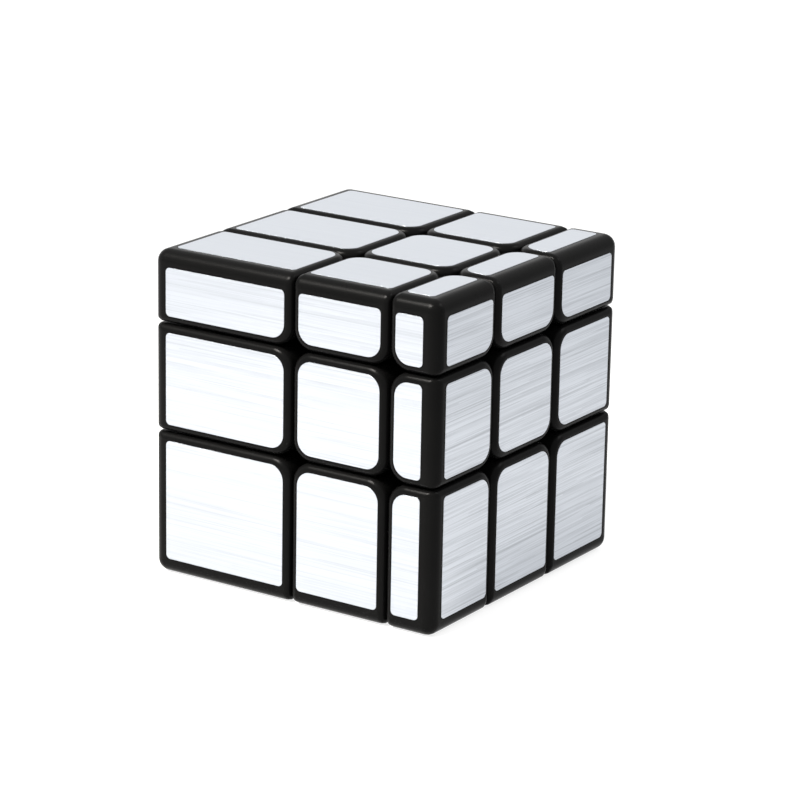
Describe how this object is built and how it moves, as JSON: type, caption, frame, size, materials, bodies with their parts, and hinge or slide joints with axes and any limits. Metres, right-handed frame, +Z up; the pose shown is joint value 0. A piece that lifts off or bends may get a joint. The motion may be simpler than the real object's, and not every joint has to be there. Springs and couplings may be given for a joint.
{
  "type": "mirror block cube",
  "caption": "Twisty puzzle of black plastic blocks of unequal thickness with brushed foil faces, whose layers turn about a hidden sprung core.",
  "frame": {"origin": "centre of the solved cube on its bottom face, which stands on the table", "axes": "+Z up; -Y is the front, the face at the left of the view, whose left layer is the thickest; +X is the right side, the thinnest layer"},
  "size_m": [0.057, 0.057, 0.057],
  "materials": {
    "black_plastic": "satin moulded plastic",
    "nylon": "matt",
    "steel": "plain zinc-plated"
  },
  "bodies": {
    "core": {"core": "nylon", "screw_left": "steel", "washer_left": "steel", "spring_left": "steel", "screw_right": "steel", "washer_right": "steel", "spring_right": "steel", "screw_front": "steel", "washer_front": "steel", "spring_front": "steel", "screw_back": "steel", "washer_back": "steel", "spring_back": "steel", "screw_bottom": "steel", "washer_bottom": "steel", "spring_bottom": "steel", "screw_top": "steel", "washer_top": "steel", "spring_top": "steel"},
    "centre_left": {"centre_left": "black_plastic", "cap_left": "black_plastic"},
    "centre_right": {"centre_right": "black_plastic", "cap_right": "black_plastic"},
    "centre_front": {"centre_front": "black_plastic", "cap_front": "black_plastic"},
    "centre_back": {"centre_back": "black_plastic", "cap_back": "black_plastic"},
    "centre_bottom": {"centre_bottom": "black_plastic", "cap_bottom": "black_plastic"},
    "centre_top": {"centre_top": "black_plastic", "cap_top": "black_plastic"},
    "edge_front_left": {"edge_front_left": "black_plastic"},
    "edge_bottom_left": {"edge_bottom_left": "black_plastic"},
    "edge_top_left": {"edge_top_left": "black_plastic"},
    "edge_back_left": {"edge_back_left": "black_plastic"},
    "edge_bottom_front": {"edge_bottom_front": "black_plastic"},
    "edge_top_front": {"edge_top_front": "black_plastic"},
    "edge_bottom_back": {"edge_bottom_back": "black_plastic"},
    "edge_top_back": {"edge_top_back": "black_plastic"},
    "edge_front_right": {"edge_front_right": "black_plastic"},
    "edge_bottom_right": {"edge_bottom_right": "black_plastic"},
    "edge_top_right": {"edge_top_right": "black_plastic"},
    "edge_back_right": {"edge_back_right": "black_plastic"},
    "corner_bottom_front_left": {"corner_bottom_front_left": "black_plastic", "corner_foot_bottom_front_left": "black_plastic"},
    "corner_top_front_left": {"corner_top_front_left": "black_plastic", "corner_foot_top_front_left": "black_plastic"},
    "corner_bottom_back_left": {"corner_bottom_back_left": "black_plastic", "corner_foot_bottom_back_left": "black_plastic"},
    "corner_top_back_left": {"corner_top_back_left": "black_plastic", "corner_foot_top_back_left": "black_plastic"},
    "corner_bottom_front_right": {"corner_bottom_front_right": "black_plastic", "corner_foot_bottom_front_right": "black_plastic"},
    "corner_top_front_right": {"corner_top_front_right": "black_plastic", "corner_foot_top_front_right": "black_plastic"},
    "corner_bottom_back_right": {"corner_bottom_back_right": "black_plastic", "corner_foot_bottom_back_right": "black_plastic"},
    "corner_top_back_right": {"corner_top_back_right": "black_plastic", "corner_foot_top_back_right": "black_plastic"}
  },
  "joints": [
    {"name": "left_face_turn", "type": "hinge", "parent": "core", "child": "centre_left", "pos_m": [0.0095, -0.00125, 0.03485], "axis": [1, 0, 0], "continuous": true},
    {"name": "right_face_turn", "type": "hinge", "parent": "core", "child": "centre_right", "pos_m": [0.0095, -0.00125, 0.03485], "axis": [1, 0, 0], "continuous": true},
    {"name": "front_face_turn", "type": "hinge", "parent": "core", "child": "centre_front", "pos_m": [0.0095, -0.00125, 0.03485], "axis": [0, 1, 0], "continuous": true},
    {"name": "back_face_turn", "type": "hinge", "parent": "core", "child": "centre_back", "pos_m": [0.0095, -0.00125, 0.03485], "axis": [0, 1, 0], "continuous": true},
    {"name": "bottom_face_turn", "type": "hinge", "parent": "core", "child": "centre_bottom", "pos_m": [0.0095, -0.00125, 0.03485], "axis": [0, 0, 1], "continuous": true},
    {"name": "top_face_turn", "type": "hinge", "parent": "core", "child": "centre_top", "pos_m": [0.0095, -0.00125, 0.03485], "axis": [0, 0, 1], "continuous": true},
    {"name": "front_left_edge_with_front", "type": "hinge", "parent": "centre_left", "child": "edge_front_left", "pos_m": [0.0095, -0.00125, 0.03485], "axis": [0, 1, 0], "continuous": true},
    {"name": "bottom_left_edge_with_left", "type": "hinge", "parent": "centre_bottom", "child": "edge_bottom_left", "pos_m": [0.0095, -0.00125, 0.03485], "axis": [1, 0, 0], "continuous": true},
    {"name": "top_left_edge_with_left", "type": "hinge", "parent": "centre_top", "child": "edge_top_left", "pos_m": [0.0095, -0.00125, 0.03485], "axis": [1, 0, 0], "continuous": true},
    {"name": "back_left_edge_with_back", "type": "hinge", "parent": "centre_left", "child": "edge_back_left", "pos_m": [0.0095, -0.00125, 0.03485], "axis": [0, 1, 0], "continuous": true},
    {"name": "bottom_front_edge_with_bottom", "type": "hinge", "parent": "centre_front", "child": "edge_bottom_front", "pos_m": [0.0095, -0.00125, 0.03485], "axis": [0, 0, 1], "continuous": true},
    {"name": "top_front_edge_with_top", "type": "hinge", "parent": "centre_front", "child": "edge_top_front", "pos_m": [0.0095, -0.00125, 0.03485], "axis": [0, 0, 1], "continuous": true},
    {"name": "bottom_back_edge_with_bottom", "type": "hinge", "parent": "centre_back", "child": "edge_bottom_back", "pos_m": [0.0095, -0.00125, 0.03485], "axis": [0, 0, 1], "continuous": true},
    {"name": "top_back_edge_with_top", "type": "hinge", "parent": "centre_back", "child": "edge_top_back", "pos_m": [0.0095, -0.00125, 0.03485], "axis": [0, 0, 1], "continuous": true},
    {"name": "front_right_edge_with_front", "type": "hinge", "parent": "centre_right", "child": "edge_front_right", "pos_m": [0.0095, -0.00125, 0.03485], "axis": [0, 1, 0], "continuous": true},
    {"name": "bottom_right_edge_with_right", "type": "hinge", "parent": "centre_bottom", "child": "edge_bottom_right", "pos_m": [0.0095, -0.00125, 0.03485], "axis": [1, 0, 0], "continuous": true},
    {"name": "top_right_edge_with_right", "type": "hinge", "parent": "centre_top", "child": "edge_top_right", "pos_m": [0.0095, -0.00125, 0.03485], "axis": [1, 0, 0], "continuous": true},
    {"name": "back_right_edge_with_back", "type": "hinge", "parent": "centre_right", "child": "edge_back_right", "pos_m": [0.0095, -0.00125, 0.03485], "axis": [0, 1, 0], "continuous": true},
    {"name": "bottom_front_left_corner_with_front", "type": "hinge", "parent": "edge_bottom_left", "child": "corner_bottom_front_left", "pos_m": [0.0095, -0.00125, 0.03485], "axis": [0, 1, 0], "continuous": true},
    {"name": "top_front_left_corner_with_front", "type": "hinge", "parent": "edge_top_left", "child": "corner_top_front_left", "pos_m": [0.0095, -0.00125, 0.03485], "axis": [0, 1, 0], "continuous": true},
    {"name": "bottom_back_left_corner_with_back", "type": "hinge", "parent": "edge_bottom_left", "child": "corner_bottom_back_left", "pos_m": [0.0095, -0.00125, 0.03485], "axis": [0, 1, 0], "continuous": true},
    {"name": "top_back_left_corner_with_back", "type": "hinge", "parent": "edge_top_left", "child": "corner_top_back_left", "pos_m": [0.0095, -0.00125, 0.03485], "axis": [0, 1, 0], "continuous": true},
    {"name": "bottom_front_right_corner_with_front", "type": "hinge", "parent": "edge_bottom_right", "child": "corner_bottom_front_right", "pos_m": [0.0095, -0.00125, 0.03485], "axis": [0, 1, 0], "continuous": true},
    {"name": "top_front_right_corner_with_front", "type": "hinge", "parent": "edge_top_right", "child": "corner_top_front_right", "pos_m": [0.0095, -0.00125, 0.03485], "axis": [0, 1, 0], "continuous": true},
    {"name": "bottom_back_right_corner_with_back", "type": "hinge", "parent": "edge_bottom_right", "child": "corner_bottom_back_right", "pos_m": [0.0095, -0.00125, 0.03485], "axis": [0, 1, 0], "continuous": true},
    {"name": "top_back_right_corner_with_back", "type": "hinge", "parent": "edge_top_right", "child": "corner_top_back_right", "pos_m": [0.0095, -0.00125, 0.03485], "axis": [0, 1, 0], "continuous": true}
  ],
  "couplings": [
    {"joint": "front_left_edge_with_front", "follows": "front_face_turn", "ratio": 1},
    {"joint": "bottom_left_edge_with_left", "follows": "left_face_turn", "ratio": 1},
    {"joint": "top_left_edge_with_left", "follows": "left_face_turn", "ratio": 1},
    {"joint": "back_left_edge_with_back", "follows": "back_face_turn", "ratio": 1},
    {"joint": "bottom_front_edge_with_bottom", "follows": "bottom_face_turn", "ratio": 1},
    {"joint": "top_front_edge_with_top", "follows": "top_face_turn", "ratio": 1},
    {"joint": "bottom_back_edge_with_bottom", "follows": "bottom_face_turn", "ratio": 1},
    {"joint": "top_back_edge_with_top", "follows": "top_face_turn", "ratio": 1},
    {"joint": "front_right_edge_with_front", "follows": "front_face_turn", "ratio": 1},
    {"joint": "bottom_right_edge_with_right", "follows": "right_face_turn", "ratio": 1},
    {"joint": "top_right_edge_with_right", "follows": "right_face_turn", "ratio": 1},
    {"joint": "back_right_edge_with_back", "follows": "back_face_turn", "ratio": 1},
    {"joint": "bottom_front_left_corner_with_front", "follows": "front_face_turn", "ratio": 1},
    {"joint": "top_front_left_corner_with_front", "follows": "front_face_turn", "ratio": 1},
    {"joint": "bottom_back_left_corner_with_back", "follows": "back_face_turn", "ratio": 1},
    {"joint": "top_back_left_corner_with_back", "follows": "back_face_turn", "ratio": 1},
    {"joint": "bottom_front_right_corner_with_front", "follows": "front_face_turn", "ratio": 1},
    {"joint": "top_front_right_corner_with_front", "follows": "front_face_turn", "ratio": 1},
    {"joint": "bottom_back_right_corner_with_back", "follows": "back_face_turn", "ratio": 1},
    {"joint": "top_back_right_corner_with_back", "follows": "back_face_turn", "ratio": 1}
  ]
}
